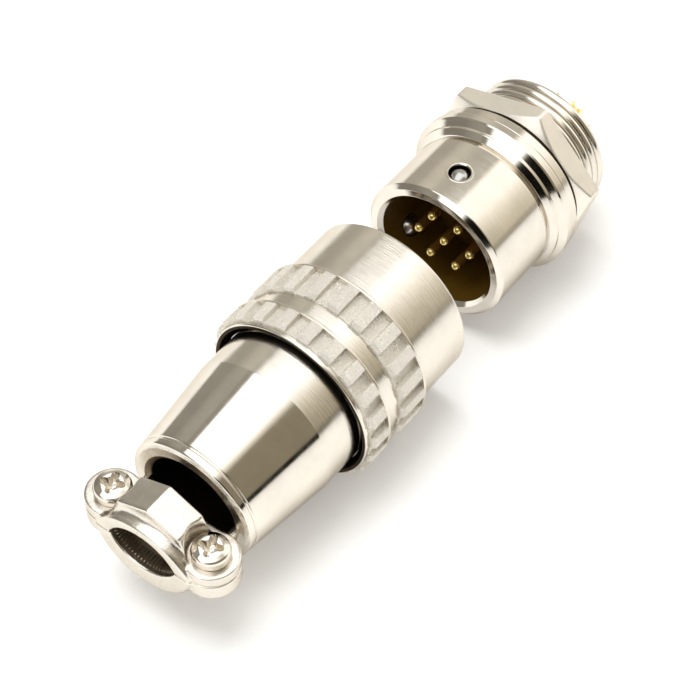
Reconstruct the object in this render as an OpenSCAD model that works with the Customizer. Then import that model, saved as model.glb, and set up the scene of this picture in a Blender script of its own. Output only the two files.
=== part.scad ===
/* [Receptacle] */
// Outer diameter of the nose that enters the plug
nose_d = 16.8; // [16:0.1:17.6]
// Wall of the nose
nose_wall = 1.7; // [1.65:0.05:1.8]
// Length of the nose ahead of the undercut
nose_len = 8.3; // [8:0.1:9]
// How far the flange stands out past the nose
flange_step = 1.3; // [1.1:0.1:1.6]
// Flange thickness
flange_t = 1.8; // [1.4:0.1:2.4]
// How far the panel thread lies below the nose
thread_step = 0.4; // [0.3:0.05:0.5]
// Pitch of the panel thread
thread_pitch = 1; // [0.75:0.25:1]
// Length of the threaded end behind the flange
thread_len = 9.2; // [7.8:0.1:10]

/* [Panel nut] */
// Wall of the nut at its flats
nut_wall = 1; // [0.9:0.05:1.05]
// Nut thickness
nut_t = 2.7; // [2.2:0.1:3]
// Turn of the hexagon about the axis
nut_turn = 46; // [44:1:48]
// How far the washer stands out past the thread
washer_step = 1.45; // [1.2:0.05:1.5]
// Washer thickness
washer_t = 1.3; // [1:0.1:1.4]

/* [Contacts] */
// Diameter of a contact pin
pin_d = 1; // [0.8:0.05:1.1]
// Insulator wall outside the ring of contacts
contact_wall = 0.67; // [0.6:0.01:0.75]
// Free length of a pin ahead of the insulator
pin_len = 6.5; // [5.5:0.1:6.8]
// Reach of the solder cups behind the threaded end
cup_out = 4; // [3:0.5:7]

/* [Ball lock] */
// Diameter of a lock ball
ball_d = 2.5; // [2.45:0.01:2.55]
// Distance of the balls behind the nose rim
ball_x = 4.2; // [4:0.1:4.4]
// Outward travel of a ball when the sleeve is drawn back
ball_lift = 0.3; // [0.2:0.05:0.3]
// Travel of the sleeve when it is drawn back
sleeve_pull = 2.5; // [2.2:0.1:2.6]

/* [Coupling sleeve] */
// Gap between the two halves as they lie apart
apart = 7.5; // [5:0.5:12]
// Wall of the sleeve at its smooth front
sleeve_wall = 0.53; // [0.45:0.01:0.7]
// Length of the smooth front ahead of the grip bands
smooth_len = 7.6; // [7.2:0.1:8]
// Overall length of the sleeve
sleeve_len = 16.6; // [16.4:0.1:18]
// Lands around each grip band
teeth = 22; // [18:4:26]
// Height of a land above its notch floor
tooth_h = 0.6; // [0.3:0.05:0.65]

/* [Back shell] */
// Outer diameter of the rear rim
rim_d = 14.3; // [13.6:0.1:15]
// Length of the tapered part
cone_len = 10.8; // [8:0.1:12]
// Length of the straight part ahead of the taper
straight_len = 4.9; // [4.4:0.1:6]

/* [Cable clamp] */
// Distance of each screw from the axis
screw_y = 5.9; // [5.7:0.1:6.3]
// Diameter of a screw head
head_d = 3.8; // [3.4:0.1:4]
// Width of the cable hole
hole_w = 7.9; // [7:0.1:8]
// Height of the cable hole
hole_h = 5.1; // [4.8:0.1:5.2]
// Radius over the corners of the clamp's eight-sided body
clamp_r = 5.25; // [5.1:0.05:5.5]
// Width of the clamp's rear collar
collar_w = 11.7; // [11.3:0.1:12.1]
// Height of the rear collar above the seam
collar_up = 3.6; // [3.5:0.05:3.8]
// Height of the rear collar below the seam
collar_down = 4.3; // [4.1:0.05:4.5]

/* [Hidden] */
$fn = 96;

// Shared clearances
run = 0.1;
fit = 0.03;
gap = 0.05;
over = 1;

// Receptacle stations, measured from the nose rim
nose_r = nose_d / 2;
bore_r = nose_r - nose_wall;
seat_x = nose_len - 0.3;
lip_x = seat_x + 0.65;
lip_r = bore_r - 0.4;
under_r = nose_r - 0.35;
collar_r = nose_r + flange_step / 2;
collar_x = nose_len + 0.5;
flange_x = collar_x + 0.7;
flange_r = nose_r + flange_step;
flange_end = flange_x + flange_t;
thread_r = nose_r - thread_step;
relief_r = thread_r - 0.65;
thread_end = flange_end + thread_len;
rear_r = thread_r - 1.1;
insert_end = thread_end - 3.5;
retainer_t = 1.4;
retainer_w = 1.5;
cup_end = thread_end + cup_out;

// Nut and washer
washer_r = thread_r + washer_step;
washer_x = flange_end;
nut_x = washer_x + washer_t + 0.25;
nut_r = (thread_r + nut_wall) / cos(30);
nut_face_r = thread_r + nut_wall - 0.25;

// Contacts
pin_r = pin_d / 2;
tail_r = pin_r + 0.25;
tip_x = seat_x - pin_len;
step_x = seat_x + 1.5;
socket_r = pin_r + 0.35;
cup_deep = 2;
cup_open = 1.2;

// Ball lock
ball_r = ball_d / 2;
ball_c = nose_r - gap + 0.02 - ball_r;
ball_in = ball_c - ball_r;
BALLS = [90, 210, 330];
ball_hole_r = ball_r + 0.05;
ball_lip = 0.3;
ball_mouth_r = ball_r - 0.1;
ball_foot = bore_r - ball_c;
ball_foot_r = sqrt(ball_r * ball_r - ball_foot * ball_foot) + 0.02;

// Plug stations, on the same axis with the halves apart
stroke = apart + nose_len;
sleeve_x = -apart;
front_x = sleeve_x - 0.8;
front_r = ball_in - gap;
groove_c = ball_x - stroke;
groove_r = front_r - 0.6;
groove_hw = 0.75;
guide_x = groove_c - groove_hw - 0.6;
guide_r = bore_r - run;
ring_x = -stroke - 0.2;
ring_t = 0.7;
ring_in = guide_r - 0.4;
ring_r = nose_r - 0.1;
rib_x = ring_x - ring_t - gap;
rib_t = 1;
rib_r = guide_r + run;
spring_len = 4.75;
seat_p = rib_x - rib_t - spring_len;
seat_t = 1;
shell_x = seat_p - seat_t;
body_thread_r = guide_r + 0.3;
shell_thread = 5.5;
body_end = shell_x - shell_thread;
core_r = groove_r - 0.5;
core_back = 4;
core_end = ring_x - core_back;
core_big_r = core_r + 0.5;
sock_tail = 2;
pin_ring = core_r - socket_r - contact_wall;
CONTACTS = [[0, 0], [pin_ring, 0], [pin_ring, 60], [pin_ring, 120],
    [pin_ring, 180], [pin_ring, 240], [pin_ring, 300]];
sock_end = core_end - sock_tail;
sock_ring_t = 1.2;
sock_ring_w = 0.9;
sock_front = front_x - 0.3;
sock_step = sock_front - 1;
sock_deep = sock_step - 7;
sock_cup_len = 4;
sock_cup = sock_end - sock_cup_len;

// Sleeve radii
lock_r = nose_r + run;
relief_in = lock_r + 0.25;
sleeve_r = relief_in + sleeve_wall;
land_r = sleeve_r + 0.72;
floor_r = land_r - tooth_h;
band_r = floor_r - 0.05;
sleeve_bore = nose_r + 0.45;
sleeve_end = sleeve_x - sleeve_len;
tooth_a = 360 / teeth;
rim_w = 0.35;
band2_x = sleeve_x - smooth_len;
band2_len = 3.8;
band1_x = band2_x - band2_len - 2;
band1_end = sleeve_end + 0.5;

// Back shell and clamp
shell_r = sleeve_bore - 0.6;
cone_x = shell_x - straight_len;
rim_x = cone_x - cone_len;
rim_r = rim_d / 2;
mouth_r = rim_r - 2.1;
hall_r = body_thread_r - 0.6;
hall_len = 4;
neck_wall = 0.35;
neck_r = clamp_r - neck_wall;
clamp_len = 7.2;
clamp_gap = 2.3;
clamp_end = rim_x - clamp_len;
saddle_x = rim_x - clamp_gap;
lip_w = 1.2;
ear_r = 2.8;
screw_x = clamp_end + ear_r + 0.35;
ear_up = 1.35;
ear_down = 2.2;
screw_r = 1;
head_r = head_d / 2;
head_h = 1.45;
cross_len = 1.24 * head_r;
cross_w = 0.6;
cross_deep = 0.75;
arc_r = (hole_w * hole_w / 4 + hole_h * hole_h / 4) / hole_h;
arc_off = arc_r - hole_h / 2;
up_r = (collar_w * collar_w / 4 + collar_up * collar_up) / (2 * collar_up);
down_r = (collar_w * collar_w / 4 + collar_down * collar_down) / (2 * collar_down);

// Row frame: origin under the middle, on the table
axis_h = max(land_r * cos(tooth_a / 4), nut_r * cos(nut_turn + 240 - 270));
mid_x = (clamp_end + cup_end) / 2;

// Lays a turned profile of [radius, station] points along the connector axis
module turned(pts) {
    rotate([0, 90, 0]) rotate_extrude() polygon(pts);
}

// Turns a feature about the connector axis, from +Y towards +Z
module around(a) {
    rotate([a, 0, 0]) children();
}

// A cylinder along the axis between two stations
module rod(r, x0, x1) {
    translate([x0, 0, 0]) rotate([0, 90, 0]) cylinder(r = r, h = x1 - x0);
}

// Moves the axis frame into the row frame
module seat() {
    translate([-mid_x, 0, axis_h]) children();
}

// Puts a feature at one contact's place
module at_contact(i) {
    around(CONTACTS[i][1]) translate([0, CONTACTS[i][0], 0]) children();
}

// Radial hole that holds a ball, with an outer lip and a conical foot
module ball_pocket(a) {
    around(a) translate([ball_x, 0, 0]) rotate([-90, 0, 0]) rotate_extrude()
        polygon([[0, bore_r - over], [ball_foot_r, bore_r - over], [ball_foot_r, bore_r - 0.25],
            [ball_hole_r, bore_r + 0.3],
            [ball_hole_r, nose_r - ball_lip], [ball_mouth_r, nose_r - ball_lip], [ball_mouth_r, nose_r + over],
            [0, nose_r + over]]);
}

// Nose, flange and threaded end in one turned piece
module receptacle_shell() {
    color([0.80, 0.77, 0.71]) seat() difference() {
        turned([[bore_r + 0.45, 0], [nose_r - 0.45, 0], [nose_r - 0.12, 0.15], [nose_r, 0.5],
            [nose_r, nose_len], [under_r, nose_len + 0.12], [under_r, collar_x - 0.1],
            [collar_r - 0.1, collar_x], [collar_r, collar_x + 0.1], [collar_r, flange_x],
            [flange_r - 0.25, flange_x],
            [flange_r, flange_x + 0.25], [flange_r, flange_end - 0.12], [flange_r - 0.12, flange_end],
            [relief_r, flange_end], [relief_r, flange_end + 0.4], [thread_r, flange_end + 1.05],
            [thread_r, thread_end - 0.5], [thread_r - 0.5, thread_end], [rear_r, thread_end],
            [rear_r, lip_x], [lip_r, lip_x], [lip_r, seat_x], [bore_r, seat_x], [bore_r, 0.45]]);
        for (a = BALLS) ball_pocket(a);
    }
}

// Insulator that carries the pins
module pin_insert() {
    color([0.20, 0.12, 0.05]) seat() difference() {
        turned([[0, seat_x], [lip_r - fit, seat_x], [lip_r - fit, lip_x], [rear_r - fit, lip_x],
            [rear_r - fit, insert_end], [0, insert_end]]);
        for (i = [0 : 6]) at_contact(i) {
            rod(pin_r + fit, seat_x - over, step_x + over);
            rod(tail_r + fit, step_x, insert_end + over);
        }
    }
}

// Ring that holds the insulator from behind
module pin_retainer() {
    color([0.80, 0.77, 0.71]) seat() turned([[rear_r - retainer_w, insert_end], [rear_r - fit, insert_end],
        [rear_r - fit, insert_end + retainer_t], [rear_r - retainer_w, insert_end + retainer_t]]);
}

// Pin with a round tip and a solder cup at its tail
module contact_pin(i) {
    color([0.90, 0.72, 0.34]) seat() at_contact(i) difference() {
        union() {
            translate([tip_x + pin_r, 0, 0]) sphere(r = pin_r);
            rod(pin_r, tip_x + pin_r, step_x + 0.5);
            rod(tail_r, step_x, cup_end);
        }
        rod(pin_r, cup_end - cup_deep, cup_end + over);
        translate([cup_end - cup_open, 0, -over]) cube([over + cup_open, tail_r + over, 2 * over]);
    }
}

// Steel ball lying loose in its pocket
module lock_ball(i) {
    color([0.75, 0.75, 0.76]) seat() around(BALLS[i]) translate([ball_x, ball_c, 0]) sphere(r = ball_r);
}

// Flat washer behind the flange
module panel_washer() {
    color([0.80, 0.77, 0.71]) seat() turned([[thread_r + gap, washer_x], [washer_r - 0.1, washer_x],
        [washer_r, washer_x + 0.1], [washer_r, washer_x + washer_t - 0.1],
        [washer_r - 0.1, washer_x + washer_t],
        [thread_r + gap, washer_x + washer_t]]);
}

// Hexagon nut, chamfered towards the flange
module panel_nut() {
    color([0.82, 0.80, 0.74]) seat() difference() {
        intersection() {
            around(nut_turn) translate([nut_x, 0, 0]) rotate([0, 90, 0]) rotate([0, 0, 90])
                cylinder(r = nut_r, h = nut_t, $fn = 6);
            turned([[0, nut_x], [nut_face_r, nut_x], [nut_r + 0.1, nut_x + (nut_r + 0.1 - nut_face_r) * 0.75],
                [nut_r + 0.1, nut_x + nut_t], [0, nut_x + nut_t]]);
        }
        rod(thread_r + gap, nut_x - over, nut_x + nut_t + over);
    }
}

// Inner barrel with the ball groove, spring seat and shell thread
module plug_body() {
    color([0.80, 0.77, 0.71]) seat() turned([[core_r, front_x], [front_r - 0.3, front_x],
        [front_r, front_x - 0.3], [front_r, groove_c + groove_hw], [groove_r, groove_c + groove_hw - 0.35],
        [groove_r, groove_c - groove_hw + 0.35], [front_r, groove_c - groove_hw], [front_r, guide_x + 0.3],
        [guide_r - 0.3, guide_x], [guide_r, guide_x - 0.3], [guide_r, ring_x], [ring_in, ring_x],
        [ring_in, ring_x - ring_t], [guide_r, ring_x - ring_t], [guide_r, seat_p], [nose_r - 0.1, seat_p],
        [nose_r - 0.1, shell_x], [body_thread_r, shell_x], [body_thread_r, body_end + 0.4],
        [body_thread_r - 0.4, body_end], [core_big_r, body_end], [core_big_r, core_end], [core_r, core_end]]);
}

// Insulator that carries the sockets
module socket_insert() {
    color([0.20, 0.12, 0.05]) seat() difference() {
        turned([[0, sock_front], [core_r - fit, sock_front], [core_r - fit, core_end],
            [core_big_r - fit, core_end], [core_big_r - fit, sock_end], [0, sock_end]]);
        for (i = [0 : 6]) at_contact(i) {
            rod(pin_r + run, sock_step - over, sock_front + over);
            rod(socket_r + fit, sock_end - over, sock_step);
        }
    }
}

// Ring that holds the socket insulator from behind
module socket_retainer() {
    color([0.80, 0.77, 0.71]) seat() turned([[core_big_r - sock_ring_w, sock_end], [core_big_r - fit, sock_end],
        [core_big_r - fit, sock_end - sock_ring_t], [core_big_r - sock_ring_w, sock_end - sock_ring_t]]);
}

// Socket with a solder cup at its tail
module socket_contact(i) {
    color([0.90, 0.72, 0.34]) seat() at_contact(i) difference() {
        union() {
            rod(socket_r, sock_end, sock_step);
            rod(tail_r, sock_cup, sock_end + 0.5);
        }
        rod(pin_r + fit, sock_deep, sock_step + over);
        rod(pin_r, sock_cup - over, sock_cup + cup_deep);
        translate([sock_cup - over, 0, -over]) cube([over + cup_open, tail_r + over, 2 * over]);
    }
}

// Ring on the barrel that stops the sleeve's rib
module stop_ring() {
    color([0.62, 0.62, 0.62]) seat() turned([[ring_in + fit, ring_x - fit], [ring_r, ring_x - fit],
        [ring_r, ring_x - ring_t], [ring_in + fit, ring_x - ring_t]]);
}

// Coil spring that pushes the sleeve forward
spring_wire = 0.28;
spring_r = (guide_r + sleeve_bore) / 2;
spring_turns = 4.5;
coil_n = 24;
wire_n = 8;
coil_steps = floor(spring_turns * coil_n);
coil_x0 = seat_p + spring_wire;
coil_rise = spring_len - 2 * spring_wire;

// Share of the rise at a point of the coil, with closed ends
function coil_lift(t) = t < 0.16 ? t * 0.7 : t > 0.84 ? 1 - (1 - t) * 0.7
    : 0.112 + (t - 0.16) * 0.776 / 0.68;

// One point on the wire's skin
function coil_pt(i, j) =
    let (a = 360 * i / coil_n, b = 360 * j / wire_n, r = spring_r + spring_wire * cos(b))
    [coil_x0 + coil_rise * coil_lift(i / coil_steps) + spring_wire * sin(b), r * cos(a), r * sin(a)];

module sleeve_spring() {
    pts = [for (i = [0 : coil_steps], j = [0 : wire_n - 1]) coil_pt(i, j)];
    walls = [for (i = [0 : coil_steps - 1], j = [0 : wire_n - 1])
        let (k = (j + 1) % wire_n, p = i * wire_n, q = p + wire_n)
            each [[p + j, q + j, p + k], [p + k, q + j, q + k]]];
    head = [for (j = [0 : wire_n - 1]) j];
    tail = [for (j = [wire_n - 1 : -1 : 0]) coil_steps * wire_n + j];
    color([0.55, 0.55, 0.56]) seat()
        polyhedron(points = pts, faces = concat(walls, [head], [tail]), convexity = 8);
}

// Cross-section of the notches of a grip band, with one at the bottom
module notches() {
    difference() {
        circle(r = land_r + over);
        circle(r = floor_r);
        for (i = [0 : teeth - 1]) rotate([0, 0, (i + 0.5) * tooth_a])
            polygon([[0, 0], [2 * land_r * cos(tooth_a / 4), -2 * land_r * sin(tooth_a / 4)],
                [2 * land_r * cos(tooth_a / 4), 2 * land_r * sin(tooth_a / 4)]]);
    }
}

// Stretch of notches between two stations
module notch_cut(x0, x1) {
    translate([x0, 0, 0]) rotate([0, 90, 0]) linear_extrude(x1 - x0) notches();
}

// Sleeve with two notched grip bands, drawn back by hand to unlock
module coupling_sleeve() {
    color([0.80, 0.77, 0.71]) seat() difference() {
        turned([[relief_in, sleeve_x], [sleeve_r - 0.35, sleeve_x], [sleeve_r - 0.1, sleeve_x - 0.1],
            [sleeve_r, sleeve_x - 0.35], [sleeve_r, band2_x], [land_r - 0.12, band2_x],
            [land_r, band2_x - 0.12],
            [land_r, band2_x - band2_len], [band_r, band2_x - band2_len], [band_r, band1_x],
            [land_r - 0.12, band1_x],
            [land_r, band1_x - 0.12], [land_r, band1_end], [band_r, band1_end], [band_r, sleeve_end + 0.15],
            [band_r - 0.15, sleeve_end], [sleeve_bore, sleeve_end], [sleeve_bore, rib_x - rib_t],
            [rib_r, rib_x - rib_t], [rib_r, rib_x], [lock_r, rib_x], [lock_r, sleeve_x - 3.1],
            [relief_in, sleeve_x - 2.9]]);
        notch_cut(band2_x - band2_len - over, band2_x - rim_w);
        notch_cut(band1_end - over, band1_x - rim_w);
    }
}

// Trough or arch that the cable lies in, bulging towards the given side
module cable_arc(side) {
    translate([0, 0, -side * arc_off]) rod(arc_r, clamp_end - over, saddle_x + over);
}

// Upright cylinder at one clamp screw
module at_screw(y, r, z0, z1) {
    translate([screw_x, y, z0]) cylinder(r = r, h = z1 - z0);
}

// Flattened rear collar of one clamp half, bulging to the given height
module clamp_collar(side, r, h) {
    front = clamp_end + lip_w;
    translate([0, 0, side * (h - r)])
        turned([[0, clamp_end], [r - 0.45, clamp_end], [r - 0.1, clamp_end + 0.15], [r, clamp_end + 0.45],
            [r, front - 0.2], [r - 0.2, front], [0, front]]);
}

// Round ears of one clamp half, with the bridge between them
module clamp_ears(z0, z1) {
    for (y = [-screw_y, screw_y]) at_screw(y, ear_r, z0, z1);
    rear = clamp_end + lip_w / 2;
    translate([rear, -screw_y, z0]) cube([screw_x + ear_r - rear, 2 * screw_y, z1 - z0]);
}

// Tapered shell with the lower half of the cable clamp
module back_shell() {
    color([0.80, 0.77, 0.71]) seat() difference() {
        union() {
            difference() {
                turned([[0, shell_x], [shell_r - 0.2, shell_x], [shell_r, shell_x - 0.2], [shell_r, cone_x],
                    [rim_r, rim_x + 0.8], [rim_r - 0.15, rim_x + 0.3], [rim_r - 0.6, rim_x],
                    [mouth_r + 0.5, rim_x], [0, rim_x]]);
                turned([[0, shell_x + over], [body_thread_r + gap, shell_x + over],
                    [body_thread_r + gap, body_end - gap],
                    [hall_r, body_end - gap], [hall_r, cone_x - hall_len], [mouth_r, cone_x - 2 * hall_len],
                    [mouth_r, rim_x + 0.4], [mouth_r + 0.5, rim_x - 0.1], [mouth_r + 0.5, rim_x - over],
                    [0, rim_x - over]]);
            }
            difference() {
                union() {
                    rod(clamp_r, clamp_end + lip_w / 2, rim_x + 0.8);
                    clamp_collar(-1, down_r, collar_down);
                    clamp_ears(-ear_down, 0);
                }
                rod(neck_r, saddle_x - 0.6, rim_x + over);
                translate([clamp_end - over, -2 * clamp_r, 0])
                    cube([clamp_len + 2 * over, 4 * clamp_r, 4 * clamp_r]);
                cable_arc(-1);
            }
        }
        for (y = [-screw_y, screw_y]) at_screw(y, screw_r + fit, -ear_down - over, over);
    }
}

// Upper half of the cable clamp
module clamp_saddle() {
    color([0.80, 0.77, 0.71]) seat() difference() {
        union() {
            rod(clamp_r, clamp_end + lip_w / 2, saddle_x, $fn = 8);
            clamp_collar(1, up_r, collar_up);
            clamp_ears(0, ear_up);
        }
        translate([clamp_end - over, -2 * clamp_r, -4 * clamp_r + gap])
            cube([clamp_len + 2 * over, 4 * clamp_r, 4 * clamp_r]);
        cable_arc(1);
        for (y = [-screw_y, screw_y]) {
            at_screw(y, screw_r + run, -over, ear_up + over);
            at_screw(y, head_r + 0.45, ear_up, 4 * clamp_r);
        }
    }
}

// Pan-head screw with a cross recess
module clamp_screw(y) {
    color([0.78, 0.76, 0.72]) seat() translate([screw_x, y, 0]) difference() {
        union() {
            translate([0, 0, -ear_down]) cylinder(r = screw_r, h = ear_down + ear_up + 0.2);
            translate([0, 0, ear_up]) rotate_extrude() polygon([[0, 0], [head_r - 0.1, 0], [head_r, 0.1],
                [head_r, head_h - 0.75], [head_r - 0.12, head_h - 0.42], [head_r - 0.45, head_h - 0.15],
                [head_r - 0.95, head_h - 0.02], [0, head_h]]);
        }
        for (a = [20, 110]) rotate([0, 0, a])
            translate([-cross_len / 2, -cross_w / 2, ear_up + head_h - cross_deep])
                cube([cross_len, cross_w, over]);
        translate([0, 0, ear_up + head_h - cross_deep - 0.15])
            cylinder(r1 = cross_w / 2, r2 = cross_w * 1.25, h = cross_deep + 0.2);
    }
}

receptacle_shell();
pin_insert();
pin_retainer();
for (i = [0 : 6]) contact_pin(i);
for (i = [0 : 2]) lock_ball(i);
panel_washer();
panel_nut();
plug_body();
socket_insert();
socket_retainer();
for (i = [0 : 6]) socket_contact(i);
stop_ring();
sleeve_spring();
coupling_sleeve();
back_shell();
clamp_saddle();
clamp_screw(screw_y);  // clamp_screw_1
clamp_screw(-screw_y);  // clamp_screw_2
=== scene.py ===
import math
from functools import partial

import bmesh
import bpy
from bpy.props import FloatProperty, FloatVectorProperty, IntProperty, PointerProperty
from mathutils import Matrix, Vector


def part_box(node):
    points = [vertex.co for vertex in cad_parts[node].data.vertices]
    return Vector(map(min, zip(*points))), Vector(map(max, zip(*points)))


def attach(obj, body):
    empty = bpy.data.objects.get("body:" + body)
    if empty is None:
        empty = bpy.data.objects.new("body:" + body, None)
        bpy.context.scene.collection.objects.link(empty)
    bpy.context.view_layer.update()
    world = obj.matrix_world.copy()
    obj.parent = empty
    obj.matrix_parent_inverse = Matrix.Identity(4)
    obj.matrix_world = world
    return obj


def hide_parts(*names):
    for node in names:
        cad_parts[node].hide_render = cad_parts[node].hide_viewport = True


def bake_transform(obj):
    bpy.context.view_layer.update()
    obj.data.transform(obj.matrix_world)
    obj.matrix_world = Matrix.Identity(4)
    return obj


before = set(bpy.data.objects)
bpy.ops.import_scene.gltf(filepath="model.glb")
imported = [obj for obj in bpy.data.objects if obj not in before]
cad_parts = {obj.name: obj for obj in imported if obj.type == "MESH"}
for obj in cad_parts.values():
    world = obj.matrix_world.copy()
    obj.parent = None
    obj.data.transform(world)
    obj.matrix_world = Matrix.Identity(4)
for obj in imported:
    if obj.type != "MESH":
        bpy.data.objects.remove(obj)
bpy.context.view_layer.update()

bl_info = {
    "name": "Push-pull connector",
    "version": (1, 0, 0),
    "blender": (4, 5, 0),
    "location": "3D View > Sidebar > Connector",
    "description": "Dresses a packed push-pull connector with its turned, plated and moulded finishes",
    "category": "Object",
}

# Places on the frame: the nose rim is station 0 on the connector axis, in millimetres
MM = 0.001
NOSE_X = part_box("receptacle_shell")[0].x
AXIS_Z = (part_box("receptacle_shell")[0].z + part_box("receptacle_shell")[1].z) / 2
CONTACTS = range(1, 8)
# Nose: its radius and the station of the lock balls
NOSE_R, BALL_S = 8.40, 4.2
# Arcs of the flattened cable hole: radius, and distance of the arc's centre from the axis
HOLE_R, HOLE_OFF = 4.334, 1.784
# Cable clamp: its rear end, then the station, side distance and seat height of its screws
CLAMP_END, SCREW_S, SCREW_Y, SEAT_H = -46.39, -43.25, 5.9, 1.35
# Finishes: what metal mirrors at a grazing angle, stains in the plating, and painted shade for walls that lie in the
# dark
EDGE_TINT, PIT_BROWN, SHADE_PAINTED_WALL = (0.72, 0.68, 0.62, 1), (0.10, 0.06, 0.03), (0.05, 0.04, 0.03)
FINISH, EFFECT = {}, {}
# Studio surround: strengths, tones and the aim of its dark patch; then the floor's own glow
PANEL_LEVEL, WALL_LEVEL, WALL_FOOT, DIFFUSE_SHARE = 1.8, 1.2, 0.30, 0.62
FRONT_TONE, FAR_TONE, WALL_TONE = (1.0, 0.87, 0.62), (1.0, 0.945, 0.82), (1.0, 0.98, 0.95)
ROOM_AIM = Vector((-0.80, -0.47, 0.30)).normalized()
FLOOR_GLOW = 0.20


class ConnectorSizes(bpy.types.PropertyGroup):
    """Sizes of the details that the looks add to the frame"""
    steps: IntProperty(name="Turned steps", description="Steps around a turned piece", default=224, min=32)
    thread_pitch: FloatProperty(name="Thread pitch", description="Pitch of the panel thread", default=1.0 * MM,
                                unit="LENGTH", precision=5)
    thread_crest: FloatProperty(name="Thread crest", description="Crest radius of the panel thread", default=8.0 * MM,
                                unit="LENGTH", precision=5)
    lands: IntProperty(name="Grip lands", description="Lands around each grip band", default=22)
    land_edge: FloatProperty(name="Land edge", description="Rounding of a land's edges", default=0.1 * MM,
                             unit="LENGTH", precision=5)
    tooth_step: FloatProperty(name="Tooth step", description="Step of the teeth in the cable hole", subtype="ANGLE",
                              default=math.radians(5.0))


class ConnectorColours(bpy.types.PropertyGroup):
    """Colours of the finishes"""
    nickel: FloatVectorProperty(name="Nickel", description="Plated metal", subtype="COLOR", size=3,
                                default=(0.78, 0.735, 0.66))
    blasted: FloatVectorProperty(name="Blasted nickel", description="Matte plating of the grip bands",
                                 subtype="COLOR", size=3, default=(0.98, 0.935, 0.85))
    dark_rough: FloatVectorProperty(name="Dark rough nickel", description="Rough plating in the cable hole", subtype="COLOR",
                              size=3, default=(0.36, 0.30, 0.22))
    gold: FloatVectorProperty(name="Gold", description="Plating of the contacts", subtype="COLOR", size=3,
                              default=(1.0, 0.79, 0.30))
    # Painted shade: the gold of the shanks, made darker and redder
    shank: FloatVectorProperty(name="Pin shank painted shade", description="Gold in the shade of the bore", subtype="COLOR", size=3,
                               default=(0.80, 0.44, 0.10))
    insulator: FloatVectorProperty(name="Insulator", description="Dark brown moulding", subtype="COLOR", size=3,
                                   default=(0.17, 0.09, 0.010))
    steel: FloatVectorProperty(name="Ball steel", description="Polished balls", subtype="COLOR", size=3,
                               default=(0.52, 0.515, 0.505))
    spring: FloatVectorProperty(name="Spring steel", description="Drawn wire and rings", subtype="COLOR", size=3,
                                default=(0.42, 0.41, 0.40))


class ConnectorStage(bpy.types.PropertyGroup):
    """Camera and light"""
    azimuth: FloatProperty(name="Azimuth", description="Camera turn about the upright", subtype="ANGLE",
                           default=math.radians(-53.1))
    elevation: FloatProperty(name="Elevation", description="Camera height above the horizon", subtype="ANGLE",
                             default=math.radians(50.9))
    distance: FloatProperty(name="Distance", description="Camera to target", default=0.2182, unit="LENGTH")
    lens: FloatProperty(name="Lens", description="Focal length in mm", default=113.14, unit="CAMERA")
    target: FloatVectorProperty(name="Target", description="Point looked at, from the nose rim", size=3, unit="LENGTH",
                                default=(-0.01549, -0.00093, 0.0))
    floor: FloatVectorProperty(name="Floor", description="Colour of the pale floor", subtype="COLOR", size=3,
                               default=(0.83, 0.825, 0.81))
    key: FloatProperty(name="Key light", description="Power of the soft key light", default=1.5, unit="POWER")


# ---------------------------------------------------------------- mesh helpers

def at(s, r, a):
    """Point at station s, radius r and angle a from +Y towards +Z."""
    return Vector((NOSE_X + s * MM, r * MM * math.cos(a), AXIS_Z + r * MM * math.sin(a)))


def off(s, y, z):
    """Point at station s, sideways y and height z above the axis."""
    return Vector((NOSE_X + s * MM, y * MM, AXIS_Z + z * MM))


def rounded(corners, arc=5, guard=0.05):
    """Closed profile with each corner (station, radius, fillet) rounded and guarded by close neighbours."""
    out, n = [], len(corners)
    for i, c in enumerate(corners):
        p = Vector(c[:2])
        f = c[2] if len(c) > 2 else 0
        a, b = Vector(corners[i - 1][:2]) - p, Vector(corners[(i + 1) % n][:2]) - p
        if f <= 0 or a.length < 1e-6 or b.length < 1e-6:
            out.append(p)
            continue
        half = a.angle(b) / 2
        if half > math.pi / 2 - 0.02:
            out.append(p)
            continue
        t = min(f / math.tan(half), 0.45 * a.length, 0.45 * b.length)
        r = t * math.tan(half)
        u, v = a.normalized(), b.normalized()
        m = p + (u + v).normalized() * (r / math.sin(half))
        start, end = p + u * t - m, p + v * t - m
        if t + guard < 0.48 * a.length:
            out.append(p + u * (t + guard))
        turn = start.angle_signed(end)
        for k in range(arc + 1):
            q = start.copy()
            q.rotate(Matrix.Rotation(-turn * k / arc, 2))
            out.append(m + q)
        if t + guard < 0.48 * b.length:
            out.append(p + v * (t + guard))
    return out


def piece(name, bm, materials, angle=32.0):
    """Object from a bmesh with outward faces, smooth but for its sharp edges."""
    bmesh.ops.remove_doubles(bm, verts=bm.verts, dist=1e-7)
    bmesh.ops.recalc_face_normals(bm, faces=bm.faces)
    mesh = bpy.data.meshes.new(name)
    bm.to_mesh(mesh)
    bm.free()
    for m in materials:
        mesh.materials.append(FINISH[m])
    obj = bpy.data.objects.new(name, mesh)
    bpy.context.scene.collection.objects.link(obj)
    soften(mesh, angle)
    return obj


def soften(mesh, angle=32.0):
    """Smooth shading with sharp edges past the angle."""
    mesh.polygons.foreach_set("use_smooth", [True] * len(mesh.polygons))
    mesh.set_sharp_from_angle(angle=math.radians(angle))
    mesh.update()


def skin(bm, rings, closed=False):
    """Faces between each ring of points and the next."""
    for low, high in zip(rings, rings[1:] + rings[:1] * closed):
        for k in range(len(low)):
            j = (k + 1) % len(low)
            bm.faces.new((low[k], high[k], high[j], low[j]))


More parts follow.
